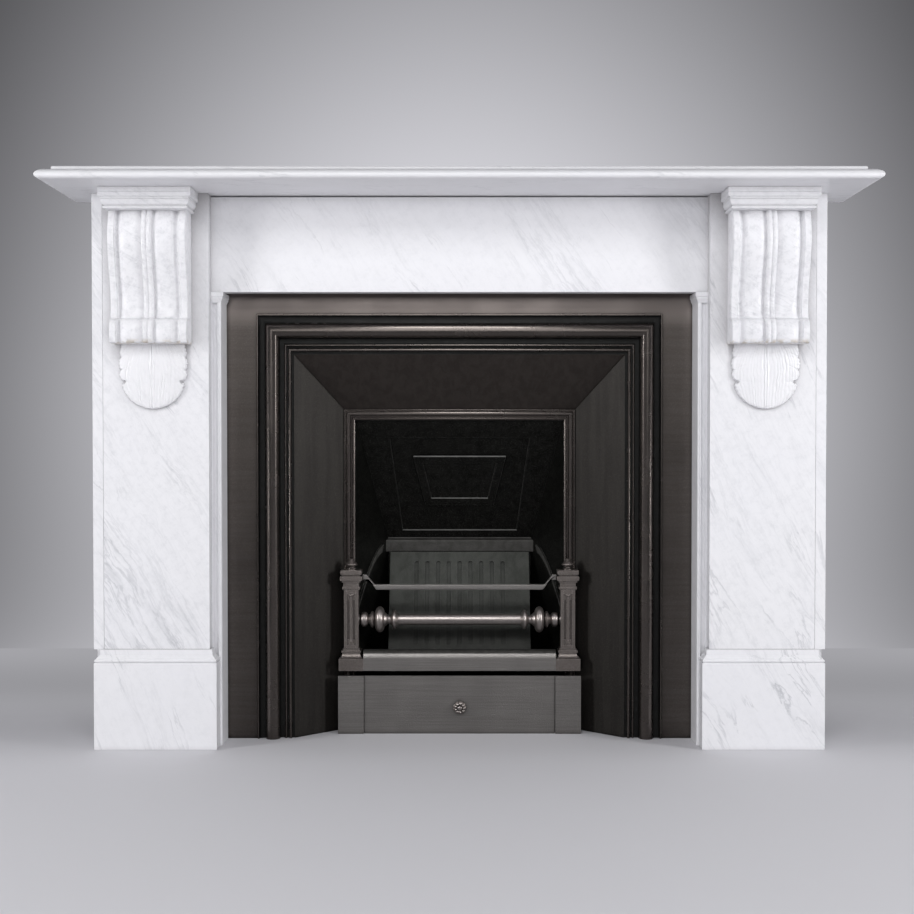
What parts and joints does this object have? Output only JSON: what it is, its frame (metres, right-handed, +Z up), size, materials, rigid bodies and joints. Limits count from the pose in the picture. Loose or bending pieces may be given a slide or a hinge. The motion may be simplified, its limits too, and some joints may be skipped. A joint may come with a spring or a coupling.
{
  "type": "fireplace mantel",
  "caption": "Corbelled marble fireplace mantel with carved leaves, moulded shelf and a splayed cast-iron register grate.",
  "frame": {"origin": "on the floor, under the middle of the whole fireplace", "axes": "+Z up, -Y out into the room, +X to the right as seen from the room"},
  "size_m": [1.517, 0.469, 1.082],
  "materials": {
    "marble": "polished, fine grey veins",
    "plate_iron": "blackened, satin",
    "chamber_iron": "matt black",
    "grate_iron": "blackened, rubbed bright on edges"
  },
  "bodies": {
    "root": {"shelf": "marble", "frieze": "marble", "jamb_left": "marble", "jamb_right": "marble", "jamb_return_left": "marble", "jamb_return_right": "marble", "foot_block_left": "marble", "foot_block_right": "marble", "slip_left": "marble", "slip_right": "marble", "corbel_cap_left": "marble", "corbel_cap_right": "marble", "corbel_left": "marble", "corbel_right": "marble", "corbel_leaf_left": "marble", "corbel_leaf_right": "marble", "front_plate": "plate_iron", "cheek_left": "plate_iron", "cheek_right": "plate_iron", "hood": "plate_iron", "bead_frame": "plate_iron", "chamber_side_left": "chamber_iron", "chamber_side_right": "chamber_iron", "chamber_back": "chamber_iron", "damper_flap": "chamber_iron", "fireback": "chamber_iron", "bottom_bar": "grate_iron", "post_left": "grate_iron", "post_right": "grate_iron", "top_rail": "grate_iron", "roller_bar": "grate_iron", "ash_cover": "grate_iron", "ash_cover_knob": "grate_iron"}
  },
  "joints": []
}
